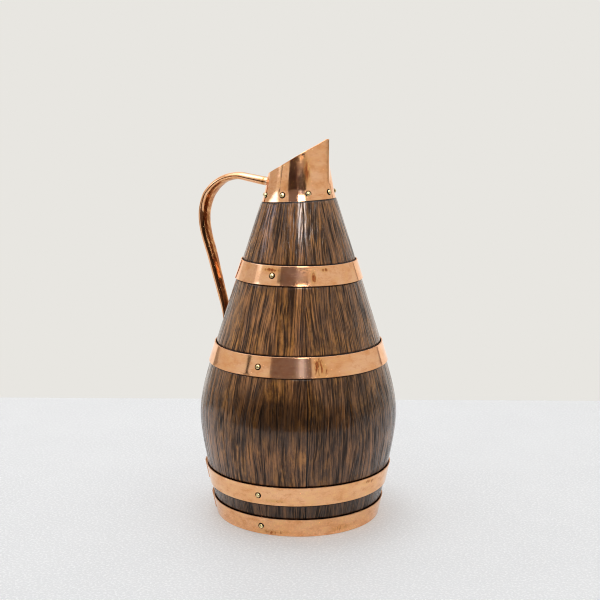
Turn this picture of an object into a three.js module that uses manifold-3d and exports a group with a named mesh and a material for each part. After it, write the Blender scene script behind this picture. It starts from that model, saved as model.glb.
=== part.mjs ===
// A coopered oak jug: bevelled staves held by riveted copper hoops, a board bottom, a pinned copper
// collar drawn out to a pouring lip, and a hollow copper handle. Millimetres, +Z up, the lip towards +X.
// The origin is at table height in the middle of the jug's bounding box, handle included.
import * as THREE from "three";
import { mergeVertices } from "three/addons/utils/BufferGeometryUtils.js";
import Module from "manifold-3d";

const wasm = await Module();
wasm.setup();

const BODY_X = 9.2; // the body's axis, seen from the origin
const FIT = 0.3; // gap left between pieces that touch

// The body's outline blends a foot that opens out upwards into a shoulder that tapers in.
const FOOT_RADIUS = 82.7;
const FOOT_FLARE = 0.22;
const TAPER_RADIUS = 143.2;
const TAPER = 0.3286;
const BELLY_BLEND = 7.1;

const STAVES = 14;
const JOINT_ANGLE = -55; // degrees, the joint where stave_01 starts
const STAVE_TOP = 337;
const WALL_FOOT = 11;
const WALL_TOP = 8;
const STAVE_COLUMNS = 3;
const STAVE_LEVELS = [46, 62, 78, 92, 106, 120, 138, 162, 200, 260];

const HEAD_LOW = 12;
const HEAD_THICK = 10;
const GROOVE_RADIUS = 77.6;
const BOARDS = 3;

const STRIP = 1.3; // thickness of the hoop copper
const LAP_COLUMNS = 2; // facets of a hoop that lie over its own start
// lean: how far a hoop rises above its level at LEAN_ANGLE. pin: the angle of its first pin, and
// how far its pins stand off the hoop's middle.
const HOOPS = [
  { name: "hoop_foot", low: 0.4, high: 18.5, lean: 0, lap: -169, pin: -84.5, pinRise: 0 },
  { name: "hoop_bilge", low: 33.7, high: 53, lean: 1.1, lap: -169, pin: -84.5, pinRise: 0 },
  { name: "hoop_shoulder", low: 159.5, high: 178.6, lean: 0.8, lap: 146, pin: -86, pinRise: -0.9 },
  { name: "hoop_neck", low: 243.1, high: 261.6, lean: 0.2, lap: 146, pin: -85, pinRise: -0.5 },
];
const LEAN_ANGLE = 30; // degrees
const LAP_RIVET_SPREAD = 4.4; // height of a lap rivet above and below the hoop's middle

const SHEET = 0.8; // thickness of the collar copper
const COLLAR_LOW = 320.4;
const COLLAR_TILT = 2.6; // the lower edge's rise towards the lip
const COLLAR_RADIUS = 37; // at the height of COLLAR_LOW
const COLLAR_TAPER = 0.21;
const COLLAR_COLUMNS = 48;
const COLLAR_ROWS = 8;
const RIM_HEIGHT = 357.7; // the rim beside the axis
const RIM_SLOPE = 0.5734;
const RIM_CURVE = 0.0052;
const LIP_TOP = 380.7; // the rim is level at the very tip
const LIP_RADIUS = 33; // the lip's crease stands upright this far from the axis
const COLLAR_PIN_ANGLES = [-128, -88, -45.7, -3.5, 36, 78, 118, 157, -164]; // spaced by eye
const COLLAR_PIN_RISE = 6.6; // pins stand this far above the collar's lower edge

const PIN = { head: 2.3, rise: 1.8, shank: 1, hole: 1.3 };
const COLLAR_PIN_LENGTH = 6.5;
const HOOP_PIN_LENGTH = 8.5;
const LAP_RIVET = { head: 2.4, rise: 1.1, shank: 1, hole: 1.3 };
const PALM_RIVET = { head: 2.6, rise: 1.3, shank: 1.1, hole: 1.4 };
const PALM_RIVET_HEIGHTS = [167, 174];

// The handle's stations from the collar to the palm on the shoulder hoop: distance from the body's
// axis, height, thickness, width and squareness of the section (2 is an oval).
const HANDLE_STATIONS = [
  [29, 335.8, 8.6, 11.5, 2],
  [43.4, 337.6, 8.7, 12, 2],
  [57.8, 339.7, 8.3, 13, 2],
  [71.7, 341.4, 7.7, 15, 2],
  [85.8, 338.7, 8, 17, 2],
  [95.6, 333.6, 8.8, 18.5, 2],
  [103.2, 327, 9.6, 19.5, 2],
  [109.7, 318.2, 10.3, 19, 2],
  [114.4, 301.6, 10.6, 16.5, 2],
  [112.8, 282.4, 10.4, 15, 2],
  [105.2, 258.8, 10, 13.4, 2],
  [98.2, 235, 9.4, 11.7, 2],
  [91, 211.2, 8.8, 10.6, 2],
  [87.4, 198, 7.2, 12, 2.2],
  [86.2, 189, 4.6, 14.5, 3],
  [86.6, 180, 2.4, 16, 4.5],
  [88.8, 172, 2.4, 16, 4.5],
  [91.2, 164.2, 2.4, 16, 4.5],
];
const HANDLE_RINGS_PER_STATION = 2;
const HANDLE_SIDES = 16;
const HANDLE_WALL = 1.2;
const HANDLE_BORE_STATIONS = 12; // stations the bore runs through before the handle closes
const PALM_ROUND = 8; // length over which the palm's end is rounded

const OAK = { color: 0x5a3b22, roughness: 0.35, metalness: 0 };
const COPPER = { color: 0xd88a62, roughness: 0.25, metalness: 1 };
const BRASS = { color: 0xd9b45a, roughness: 0.25, metalness: 1 };

const radians = THREE.MathUtils.degToRad;
const { lerp } = THREE.MathUtils;

function at(radius, angle, z) {
  return new THREE.Vector3(BODY_X + radius * Math.cos(angle), radius * Math.sin(angle), z);
}

function woodRadius(z) {
  const foot = FOOT_RADIUS + FOOT_FLARE * z;
  const taper = TAPER_RADIUS - TAPER * z;
  return (foot + taper) / 2 - Math.hypot((foot - taper) / 2, BELLY_BLEND);
}

function wall(z) {
  return lerp(WALL_FOOT, WALL_TOP, z / STAVE_TOP);
}

// The outward direction of the body's surface at a height.
function outward(z, angle) {
  const slope = woodRadius(z + 0.5) - woodRadius(z - 0.5);
  return new THREE.Vector3(Math.cos(angle), Math.sin(angle), -slope).normalize();
}

function geometryFrom(points, faces) {
  const geometry = new THREE.BufferGeometry();
  geometry.setAttribute("position", new THREE.Float32BufferAttribute(points, 3));
  geometry.setIndex(faces);
  return geometry;
}

// A closed body between two grids of points: rows go up, columns go round towards greater angles.
function slab(outer, inner, wraps) {
  const rows = outer.length;
  const columns = outer[0].length;
  const points = [...outer.flat(), ...inner.flat()].flatMap((p) => p.toArray());
  const out = (i, j) => i * columns + (j % columns);
  const inn = (i, j) => rows * columns + out(i, j);
  const faces = [];
  const quad = (a, b, c, d) => faces.push(a, b, c, a, c, d);
  const spans = wraps ? columns : columns - 1;
  for (let j = 0; j < spans; j++) {
    for (let i = 0; i < rows - 1; i++) {
      quad(out(i, j), out(i, j + 1), out(i + 1, j + 1), out(i + 1, j));
      quad(inn(i, j), inn(i + 1, j), inn(i + 1, j + 1), inn(i, j + 1));
    }
    quad(out(0, j), inn(0, j), inn(0, j + 1), out(0, j + 1));
    quad(out(rows - 1, j), out(rows - 1, j + 1), inn(rows - 1, j + 1), inn(rows - 1, j));
  }
  if (!wraps) {
    const last = columns - 1;
    for (let i = 0; i < rows - 1; i++) {
      quad(out(i, 0), out(i + 1, 0), inn(i + 1, 0), inn(i, 0));
      quad(out(i, last), inn(i, last), inn(i + 1, last), out(i + 1, last));
    }
  }
  return geometryFrom(points, faces);
}

// A closed body through rings of points, which go round their path's direction by the right hand.
function loft(rings) {
  const sides = rings[0].length;
  const points = rings.flat().flatMap((p) => p.toArray());
  const faces = [];
  for (let i = 0; i < rings.length - 1; i++) {
    for (let j = 0; j < sides; j++) {
      const a = i * sides + j;
      const b = i * sides + ((j + 1) % sides);
      faces.push(a, b, b + sides, a, b + sides, a + sides);
    }
  }
  const end = (rings.length - 1) * sides;
  for (let j = 1; j < sides - 1; j++) {
    faces.push(0, j + 1, j);
    faces.push(end, end + j, end + j + 1);
  }
  return geometryFrom(points, faces);
}

function solidOf(geometry) {
  const bare = geometry.clone();
  bare.deleteAttribute("normal");
  bare.deleteAttribute("uv");
  const merged = mergeVertices(bare, 1e-4);
  const triVerts = new Uint32Array(merged.index.array);
  const vertProperties = merged.attributes.position.array;
  return new wasm.Manifold(new wasm.Mesh({ numProp: 3, vertProperties, triVerts }));
}

function geometryOf(solid) {
  const mesh = solid.getMesh();
  return geometryFrom([...mesh.vertProperties], [...mesh.triVerts]);
}

function cut(geometry, tools) {
  let solid = solidOf(geometry);
  for (const tool of tools) solid = solid.subtract(solidOf(tool));
  return geometryOf(solid);
}

// Turns a shape made round +Y at the origin so that +Y points along an axis from a point.
function aim(geometry, point, axis) {
  const turn = new THREE.Quaternion().setFromUnitVectors(new THREE.Vector3(0, 1, 0), axis);
  const place = new THREE.Matrix4().compose(point, turn, new THREE.Vector3(1, 1, 1));
  return geometry.applyMatrix4(place);
}

// A round hole of a fastener, as deep each way as given.
function hole(fastener, site, depth) {
  const bit = new THREE.CylinderGeometry(fastener.hole, fastener.hole, 2 * depth, 10);
  return aim(bit, site.point, site.axis);
}

// A round-headed fastener whose head starts at its site and whose shank runs inwards.
function fastenerShape(fastener, site, length) {
  const { head, rise, shank } = fastener;
  const profile = [
    new THREE.Vector2(0, -length),
    new THREE.Vector2(shank, -length),
    new THREE.Vector2(shank, 0),
    new THREE.Vector2(head, 0),
    new THREE.Vector2(head * 0.9, rise * 0.55),
    new THREE.Vector2(head * 0.5, rise * 0.92),
    new THREE.Vector2(0, rise),
  ];
  const turned = new THREE.LatheGeometry(profile, 10);
  return aim(turned, site.point, site.axis);
}

// A point a little clear of a surface that stands this far off the wood, with the way out of it.
function siteOn(z, angle, standoff) {
  const axis = outward(z, angle);
  return { point: at(woodRadius(z), angle, z).addScaledVector(axis, standoff), axis };
}

// ---- where the fasteners go -------------------------------------------------------------------

const collarLow = (angle) => COLLAR_LOW + COLLAR_TILT * Math.cos(angle);
const collarRadius = (z) => COLLAR_RADIUS - COLLAR_TAPER * (z - COLLAR_LOW);
const collarPinSites = COLLAR_PIN_ANGLES.map((degrees) => {
  const angle = radians(degrees);
  const z = collarLow(angle) + COLLAR_PIN_RISE;
  const axis = new THREE.Vector3(Math.cos(angle), Math.sin(angle), COLLAR_TAPER).normalize();
  return { point: at(collarRadius(z), angle, z).addScaledVector(axis, FIT), axis };
});

const hoopLean = (hoop, angle) => hoop.lean * Math.cos(angle - radians(LEAN_ANGLE));
const hoopMiddle = (hoop, angle) => (hoop.low + hoop.high) / 2 + hoopLean(hoop, angle);
const hoopPinSites = HOOPS.map((hoop) =>
  [hoop.pin, hoop.pin + 180].map((degrees) => {
    const angle = radians(degrees);
    return siteOn(hoopMiddle(hoop, angle) + hoop.pinRise, angle, FIT + STRIP + FIT);
  }),
);

const facet = (2 * Math.PI) / (STAVES * STAVE_COLUMNS);
// The angle of the facet edge nearest to the one asked for, so that hoops and staves share edges.
function facetAngle(degrees) {
  const first = radians(JOINT_ANGLE);
  return first + Math.round((radians(degrees) - first) / facet) * facet;
}
const lapStandoff = FIT + STRIP + FIT + STRIP + FIT;
const lapRivetSites = HOOPS.map((hoop) => {
  const angle = facetAngle(hoop.lap) + (LAP_COLUMNS * facet) / 2;
  return [-LAP_RIVET_SPREAD, LAP_RIVET_SPREAD].map((rise) =>
    siteOn(hoopMiddle(hoop, angle) + rise, angle, lapStandoff),
  );
});

const palmStandoff = FIT + STRIP + FIT + 2.4 + FIT;
const palmRivetSites = PALM_RIVET_HEIGHTS.map((z) => siteOn(z, Math.PI, palmStandoff));

// ---- the pieces -------------------------------------------------------------------------------

// One stave: a bent, bevelled board, grooved for the bottom and turned down where the collar sits.
function stave(index) {
  const start = radians(JOINT_ANGLE) + index * STAVE_COLUMNS * facet;
  const sweep = STAVE_COLUMNS * facet;
  const row = (heightAt, radiusAt) => {
    const points = [];
    for (let j = 0; j <= STAVE_COLUMNS; j++) {
      const middle = start + (j * sweep) / STAVE_COLUMNS;
      const z = heightAt(middle);
      const radius = radiusAt(z);
      const side = Math.asin(FIT / 2 / radius);
      points.push(at(radius, lerp(start + side, start + sweep - side, j / STAVE_COLUMNS), z));
    }
    return points;
  };
  const inside = (z) => woodRadius(z) - wall(z);
  const groove = () => GROOVE_RADIUS;
  const turnedDown = (z) => collarRadius(z) - SHEET - FIT;
  const level = (z) => () => z;
  const grooveLow = level(HEAD_LOW - FIT);
  const grooveHigh = level(HEAD_LOW + HEAD_THICK + FIT);
  const step = (angle) => collarLow(angle) - FIT;
  const top = level(STAVE_TOP);
  const outer = [0, 9, 14, 20, 26, ...STAVE_LEVELS].map((z) => row(level(z), woodRadius));
  outer.push(row(step, woodRadius), row(step, turnedDown), row(top, turnedDown));
  const inner = [
    row(level(0), inside),
    row(grooveLow, inside),
    row(grooveLow, groove),
    row(grooveHigh, groove),
    row(grooveHigh, inside),
    ...STAVE_LEVELS.map((z) => row(level(z), inside)),
    row(level(COLLAR_LOW - COLLAR_TILT), inside),
    row(level(COLLAR_LOW + COLLAR_TILT), inside),
    row(top, inside),
  ];
  const pins = [
    ...collarPinSites.map((site) => hole(PIN, site, COLLAR_PIN_LENGTH + FIT)),
    ...hoopPinSites.flat().map((site) => hole(PIN, site, HOOP_PIN_LENGTH + FIT)),
  ];
  return cut(slab(outer, inner, false), pins);
}

// One board of the bottom: a strip of a disc, between two lines along X.
function board(index) {
  const radius = GROOVE_RADIUS - 2 * FIT;
  const width = (2 * radius) / BOARDS;
  const low = Math.max(-radius, -radius + index * width + FIT / 2);
  const high = Math.min(radius, -radius + (index + 1) * width - FIT / 2);
  const shape = new THREE.Shape();
  const steps = 8;
  const from = Math.asin(index === 0 ? -1 : low / radius);
  const to = Math.asin(index === BOARDS - 1 ? 1 : high / radius);
  for (let k = 0; k <= steps; k++) {
    const angle = lerp(from, to, k / steps);
    const x = BODY_X + radius * Math.cos(angle);
    const y = radius * Math.sin(angle);
    if (k === 0) shape.moveTo(x, y);
    else shape.lineTo(x, y);
  }
  for (let k = steps; k >= 0; k--) {
    const angle = lerp(from, to, k / steps);
    const x = BODY_X - radius * Math.cos(angle);
    const y = radius * Math.sin(angle);
    if (Math.cos(angle) > 1e-6) shape.lineTo(x, y);
  }
  const extruded = new THREE.ExtrudeGeometry(shape, { depth: HEAD_THICK, bevelEnabled: false });
  return geometryOf(solidOf(extruded.translate(0, 0, HEAD_LOW)));
}

// One hoop: a tapered strip bent round the body, its end lifted over its start.
function hoop(index) {
  const { low, high, lap } = HOOPS[index];
  const turns = STAVES * STAVE_COLUMNS;
  const start = facetAngle(lap);
  const outer = [[], []];
  const inner = [[], []];
  for (let j = 0; j <= turns + LAP_COLUMNS; j++) {
    const lift = j < turns ? 0 : STRIP + FIT;
    const angle = start + j * facet;
    [low, high].forEach((level, i) => {
      const z = level + hoopLean(HOOPS[index], angle);
      const radius = woodRadius(z) + FIT + lift;
      inner[i].push(at(radius, angle, z));
      outer[i].push(at(radius + STRIP, angle, z));
    });
  }
  const tools = [
    ...hoopPinSites[index].map((site) => hole(PIN, site, HOOP_PIN_LENGTH)),
    ...lapRivetSites[index].map((site) => hole(LAP_RIVET, site, HOOP_PIN_LENGTH)),
  ];
  if (HOOPS[index].name === "hoop_shoulder") {
    tools.push(...palmRivetSites.map((site) => hole(PALM_RIVET, site, HOOP_PIN_LENGTH)));
  }
  return cut(slab(outer, inner, false), tools);
}

// The collar's outer radius: a circle, drawn out by two tangent planes into the lip's crease.
function collarOutline(z, angle) {
  const round = collarRadius(z);
  if (LIP_RADIUS <= round) return round;
  const reach = Math.acos(round / LIP_RADIUS);
  const off = Math.abs(Math.atan2(Math.sin(angle), Math.cos(angle)));
  return off < reach ? round / Math.cos(reach - off) : round;
}

// The rim's height in a direction, where the collar's side meets the rim's curved slope.
function rimHeight(angle) {
  let z = RIM_HEIGHT;
  for (let k = 0; k < 40; k++) {
    const along = collarOutline(z, angle) * Math.cos(angle);
    const slope = RIM_HEIGHT + RIM_SLOPE * along + RIM_CURVE * along * along;
    z = lerp(z, Math.min(slope, LIP_TOP), 0.5);
  }
  return z;
}

function collar() {
  const outer = [];
  const inner = [];
  for (let i = 0; i <= COLLAR_ROWS; i++) {
    outer.push([]);
    inner.push([]);
    for (let j = 0; j < COLLAR_COLUMNS; j++) {
      const angle = (2 * Math.PI * j) / COLLAR_COLUMNS;
      const z = lerp(collarLow(angle), rimHeight(angle), i / COLLAR_ROWS);
      const radius = collarOutline(z, angle);
      outer[i].push(at(radius, angle, z));
      inner[i].push(at(radius * (1 - SHEET / collarRadius(z)), angle, z));
    }
  }
  const holes = collarPinSites.map((site) => hole(PIN, site, COLLAR_PIN_LENGTH));
  return cut(slab(outer, inner, true), holes);
}

// Rings of the handle from its start to a station, each side brought in by an inset.
function handleRings(stations, inset) {
  const path = new THREE.CatmullRomCurve3(
    HANDLE_STATIONS.map(([reach, z]) => new THREE.Vector3(BODY_X - reach, 0, z)),
    false,
    "catmullrom",
  );
  const sizes = new THREE.CatmullRomCurve3(
    HANDLE_STATIONS.map(([, , thick, width, square]) => new THREE.Vector3(thick, width, square)),
    false,
    "catmullrom",
  );
  const total = (HANDLE_STATIONS.length - 1) * HANDLE_RINGS_PER_STATION;
  const count = Math.round(stations * HANDLE_RINGS_PER_STATION);
  const end = path.getPoint(1);
  const rings = [];
  for (let k = 0; k <= count; k++) {
    const centre = path.getPoint(k / total);
    const tangent = path.getTangent(k / total);
    const size = sizes.getPoint(k / total);
    const left = end.distanceTo(centre);
    const rounding = left < PALM_ROUND ? Math.sqrt(1 - (1 - left / PALM_ROUND) ** 2) : 1;
    const half = (size.y / 2) * Math.max(rounding, 0.35) - inset;
    const deep = size.x / 2 - inset;
    const side = new THREE.Vector3(0, 1, 0);
    const across = new THREE.Vector3().crossVectors(tangent, side);
    const ring = [];
    for (let j = 0; j < HANDLE_SIDES; j++) {
      const turn = (2 * Math.PI * j) / HANDLE_SIDES;
      const round = (value) => Math.sign(value) * Math.abs(value) ** (2 / size.z);
      const point = centre.clone();
      point.addScaledVector(side, half * round(Math.cos(turn)));
      point.addScaledVector(across, deep * round(Math.sin(turn)));
      ring.push(point);
    }
    rings.push(ring);
  }
  return rings;
}

// The handle: a flattened tube, its top end shaped to the collar, its foot beaten out to a palm.
function handle() {
  const low = COLLAR_LOW - COLLAR_TILT;
  const plug = new THREE.LatheGeometry(
    [
      new THREE.Vector2(0, low),
      new THREE.Vector2(collarRadius(low) + FIT, low),
      new THREE.Vector2(collarRadius(RIM_HEIGHT) + FIT, RIM_HEIGHT),
      new THREE.Vector2(0, RIM_HEIGHT),
    ],
    COLLAR_COLUMNS,
  );
  plug.rotateX(Math.PI / 2);
  plug.translate(BODY_X, 0, 0);
  const outside = loft(handleRings(HANDLE_STATIONS.length - 1, 0));
  const bore = loft(handleRings(HANDLE_BORE_STATIONS, HANDLE_WALL));
  const holes = palmRivetSites.map((site) => hole(PALM_RIVET, site, HOOP_PIN_LENGTH));
  return cut(outside, [bore, plug, ...holes]);
}

// ---- the jug ----------------------------------------------------------------------------------

const jug = new THREE.Group();

function add(name, geometry, { color, roughness, metalness }) {
  const material = new THREE.MeshStandardMaterial({ color, roughness, metalness });
  const mesh = new THREE.Mesh(geometry, material);
  mesh.name = name;
  jug.add(mesh);
}

const numbered = (name, index) => `${name}_${String(index + 1).padStart(2, "0")}`;

for (let k = 0; k < STAVES; k++) add(numbered("stave", k), stave(k), OAK);
for (let k = 0; k < BOARDS; k++) add(numbered("bottom_board", k), board(k), OAK);
HOOPS.forEach(({ name }, k) => {
  add(name, hoop(k), COPPER);
  hoopPinSites[k].forEach((site, n) =>
    add(numbered(`${name}_pin`, n), fastenerShape(PIN, site, HOOP_PIN_LENGTH), BRASS),
  );
  lapRivetSites[k].forEach((site, n) =>
    add(numbered(`${name}_rivet`, n), fastenerShape(LAP_RIVET, site, lapStandoff - 2 * FIT), COPPER),
  );
});
add("spout_collar", collar(), COPPER);
collarPinSites.forEach((site, k) =>
  add(numbered("collar_pin", k), fastenerShape(PIN, site, COLLAR_PIN_LENGTH), BRASS),
);
add("handle", handle(), COPPER);
palmRivetSites.forEach((site, k) =>
  add(numbered("handle_rivet", k), fastenerShape(PALM_RIVET, site, palmStandoff - 2 * FIT), COPPER),
);

export default jug;
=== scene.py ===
"""The looks of a coopered oak jug: waxed staves, riveted copper hoops, a copper collar drawn out to a
lip, a copper handle and brass pins. Sizes are millimetres until a mesh is made, +Z up, lip towards +X."""
import math
import random

import bpy
import bmesh
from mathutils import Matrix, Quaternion, Vector, noise


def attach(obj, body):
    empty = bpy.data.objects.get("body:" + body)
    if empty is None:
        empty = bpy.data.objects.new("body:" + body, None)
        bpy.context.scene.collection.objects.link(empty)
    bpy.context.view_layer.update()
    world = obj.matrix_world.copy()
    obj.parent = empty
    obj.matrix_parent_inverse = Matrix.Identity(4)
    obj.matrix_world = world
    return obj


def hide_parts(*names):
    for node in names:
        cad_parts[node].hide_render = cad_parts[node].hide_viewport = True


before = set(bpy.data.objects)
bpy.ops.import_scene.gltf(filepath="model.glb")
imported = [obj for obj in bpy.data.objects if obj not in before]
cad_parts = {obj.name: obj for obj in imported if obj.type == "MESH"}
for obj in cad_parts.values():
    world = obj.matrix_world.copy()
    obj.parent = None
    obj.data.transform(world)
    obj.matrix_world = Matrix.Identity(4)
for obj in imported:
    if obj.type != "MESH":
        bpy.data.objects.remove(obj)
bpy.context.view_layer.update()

MM = 0.001


# ---- the part's own sizes, the same as in the CAD source --------------------------------------

AXIS_X = 9.2  # the body's axis, beside the middle of the whole jug
STAVES = 14
JOINT = math.radians(-55)  # the first stave's first joint
STAVE_SWEEP = 2 * math.pi / STAVES
STAVE_TOP = 337
BOTTOM_BOARDS = 3
GAP = 0.3  # between neighbouring pieces
FACET = 2 * math.pi / 42  # the CAD's hoops have this many flats

# The wood's outline is two cones that run into one another at the belly.
FOOT_RADIUS, FOOT_SPREAD = 82.7, 0.22
TAPER_RADIUS, TAPER_SLOPE = 143.2, 0.3286
BELLY_ROUND = 7.1
WALL_LOW, WALL_HIGH = 11, 8
BOTTOM_GROOVE = (11.7, 22.3, 77.6)  # low, high and radius

STRIP = 1.3  # how thick the hoops are
# A hoop's low and high edge, its lean, where its lap starts, its first pin and the pins' offset.
HOOPS = {
    "hoop_foot": (0.4, 18.5, 0, -169, -84.5, 0),
    "hoop_bilge": (33.7, 53, 1.1, -169, -84.5, 0),
    "hoop_shoulder": (159.5, 178.6, 0.8, 146, -86, -0.9),
    "hoop_neck": (243.1, 261.6, 0.2, 146, -85, -0.5),
}
LEAN_ANGLE = math.radians(30)  # the side on which the hoops sit highest
HOOP_FACETS = 44  # the strip goes once round and laps over itself
LAP_FACET = 41  # where the lapping end begins to rise

SHEET = 0.8  # how thick the collar is
COLLAR_LOW, COLLAR_LOW_LEAN = 320.4, 2.6
CREASE_Z, CREASE_RADIUS = 334, 33.45
COLLAR_TAPER = 0.185
COLLAR_SPREAD, COLLAR_CURL = 0.205, 0.0042
LIP_RADIUS = 33
LIP_TOP = 380.7
RIM_MIDDLE, RIM_SLOPE, RIM_CURVE = 357.7, 0.5734, 0.0052
# The wood inside the collar follows a straight cone, with a little slack.
SEAT_RADIUS, SEAT_SLOPE, SEAT_SLACK = 37, 0.21, 0.35

# The handle's distance behind the body's axis, height, thickness, width and squareness.
HANDLE = [
    (29, 335.8, 8.6, 11.5, 2), (43.4, 337.6, 8.7, 12, 2), (57.8, 339.7, 8.3, 13, 2),
    (71.7, 341.4, 7.7, 15, 2), (85.8, 338.7, 8, 17, 2), (95.6, 333.6, 8.8, 18.5, 2),
    (103.2, 327, 9.6, 19.5, 2), (109.7, 318.2, 10.3, 19, 2), (114.4, 301.6, 10.6, 16.5, 2),
    (112.8, 282.4, 10.4, 15, 2), (105.2, 258.8, 10, 13.4, 2), (98.2, 235, 9.4, 11.7, 2),
    (91, 211.2, 8.8, 10.6, 2), (87.4, 198, 7.2, 12, 2.2), (86.2, 189, 4.6, 14.5, 3),
    (86.6, 180, 2.4, 16, 4.5), (88.8, 172, 2.4, 16, 4.5), (91.2, 164.2, 2.4, 16, 4.5),
]
PALM = 2.4  # how thick the handle's flattened end is
PALM_ROUND = 8

# Where the pins and rivets are, and their shapes: head radius and rise, shank radius and length.
HOOP_PIN = (2.3, 1.9, 1, 8.5)
LAP_RIVET = (2.4, 1.1, 1, 8.5)
LAP_RIVET_OFFSETS = (-4.4, 4.4)
COLLAR_PIN = (2.3, 1.9, 1, 6.5)
COLLAR_PIN_ANGLES = (-128, -88, -45.7, -3.5, 36, 78, 118, 157, -164)
COLLAR_PIN_RISE = 6.6
COLLAR_PIN_TILT = 0.245
PALM_RIVET = (2.6, 1.3, 1.1, 8.5)
PALM_RIVET_HEIGHTS = (167, 174)


def lerp(a, b, t):
    return a + (b - a) * t


def smooth(t):
    t = min(max(t, 0.0), 1.0)
    return t * t * (3 - 2 * t)


def at(radius, angle, z):
    return Vector((AXIS_X + radius * math.cos(angle), radius * math.sin(angle), z))


def wood_radius(z):
    foot, taper = FOOT_RADIUS + FOOT_SPREAD * z, TAPER_RADIUS - TAPER_SLOPE * z
    return (foot + taper) / 2 - math.hypot((foot - taper) / 2, BELLY_ROUND)


def bore_radius(z):
    return wood_radius(z) - lerp(WALL_LOW, WALL_HIGH, z / STAVE_TOP)


def outward(z, angle):
    """The direction square to the wood's surface."""
    slope = wood_radius(z + 0.5) - wood_radius(z - 0.5)
    return Vector((math.cos(angle), math.sin(angle), -slope)).normalized()


def collar_low(angle):
    return COLLAR_LOW + COLLAR_LOW_LEAN * math.cos(angle)


def hoop_lean(name, angle):
    return HOOPS[name][2] * math.cos(angle - LEAN_ANGLE)


def collar_radius(z):
    """The collar's cone, which spreads a little more and more below a soft crease."""
    above, below = max(z - CREASE_Z, 0), max(CREASE_Z - z, 0)
    return CREASE_RADIUS - COLLAR_TAPER * above + COLLAR_SPREAD * below + COLLAR_CURL * below * below


def lip_outline(z, angle):
    """The cone, drawn out by two tangent planes to the crease of the lip."""
    cone = collar_radius(z)
    if LIP_RADIUS <= cone:
        return cone
    reach = math.acos(cone / LIP_RADIUS)
    off = abs(math.atan2(math.sin(angle), math.cos(angle)))
    return cone / math.cos(reach - off) if off < reach else cone


def rim_height(angle):
    """The slanting rim's height. The lip's reach depends on it, so it is closed in on step by step."""
    z = RIM_MIDDLE
    for _ in range(40):
        s = lip_outline(z, angle) * math.cos(angle)
        z = lerp(z, min(RIM_MIDDLE + RIM_SLOPE * s + RIM_CURVE * s * s, LIP_TOP), 0.5)
    return z


def under_collar(z):
    """The radius of the wood that goes up inside the collar."""
    return SEAT_RADIUS - SEAT_SLOPE * (z - COLLAR_LOW) - SHEET - GAP - SEAT_SLACK


# ---- mesh helpers -----------------------------------------------------------------------------


def grid_faces(rows, columns, wrap_rows, wrap_columns):
    """The four-sided faces of a grid of points, which may close on itself either way."""
    faces = []
    for i in range(rows if wrap_rows else rows - 1):
        for j in range(columns if wrap_columns else columns - 1):
            a, b = i * columns, ((i + 1) % rows) * columns
            k = (j + 1) % columns
            faces.append((a + j, a + k, b + k, b + j))
    return faces


def tube_faces(rings, sides):
    """The faces of a row of rings, closed at both ends."""
    faces = grid_faces(rings, sides, False, True)
    faces.append(tuple(range(sides)))
    faces.append(tuple(range((rings - 1) * sides, rings * sides)))
    return faces


def build(name, points, faces, node, material, marks, sharp=50):
    """Makes one closed piece that stands for a CAD node, with its marks as point attributes."""
    mesh = bpy.data.meshes.new(name)
    mesh.from_pydata([p * MM for p in points], [], faces)
    for key, values in marks.items():
        layer = mesh.attributes.new(key, "FLOAT_VECTOR", "POINT")
        layer.data.foreach_set("vector", [c for value in values for c in value])
    work = bmesh.new()
    work.from_mesh(mesh)
    bmesh.ops.recalc_face_normals(work, faces=work.faces)
    work.to_mesh(mesh)
    work.free()
    mesh.shade_smooth()
    mesh.set_sharp_from_angle(angle=math.radians(sharp))
    mesh.materials.append(material)
    piece = bpy.data.objects.new(name, mesh)
    bpy.context.scene.collection.objects.link(piece)
    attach(piece, "root")
    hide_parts(node)
    return piece


# ---- material helpers -------------------------------------------------------------------------


IOR = 1.5
COAT_ROUGHNESS = 0.1
PER_METRE = (1000, 1000, 1000)  # turns metres into millimetres

# Colours are linear red, green and blue.
OAK_BROWN, OAK_LIGHT = (0.075, 0.028, 0.009), (0.37, 0.157, 0.056)
AMBER_DARK, AMBER_LIGHT = (0.13, 0.045, 0.006), (0.38, 0.160, 0.030)
PORE_BLACK = (0.012, 0.005, 0.002)
# Old wax also stands for painted shade beside the copper.
OLD_WAX_AND_SHADE = (0.008, 0.005, 0.004)
COPPER_PALE, COPPER_DEEP = (0.99, 0.575, 0.34), (0.90, 0.445, 0.205)
COPPER_BRUSHED = (0.80, 0.36, 0.18)
COPPER_VEIL, COPPER_BRIGHT = (0.70, 0.265, 0.075), (1.0, 0.62, 0.27)
COPPER_WARM = (0.97, 0.52, 0.24)
TARNISH_YELLOW, TARNISH_BROWN = (0.78, 0.40, 0.13), (0.40, 0.115, 0.035)
# Painted shadow and dirt round copper rivet heads, and the dark ring at the handle's joint.
COPPER_RING_DIRT_AND_SHADE = (0.03, 0.018, 0.012)
COPPER_EDGE = (0.36, 0.16, 0.085)
SOLDER = (0.62, 0.58, 0.55)
BRASS_PALE, BRASS_DEEP = (0.86, 0.74, 0.42), (0.62, 0.46, 0.18)
# Painted shadow and dirt round brass heads, and painted shade on their lower edge.
BRASS_RING_DIRT_AND_SHADE = (0.012, 0.007, 0.004)


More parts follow.
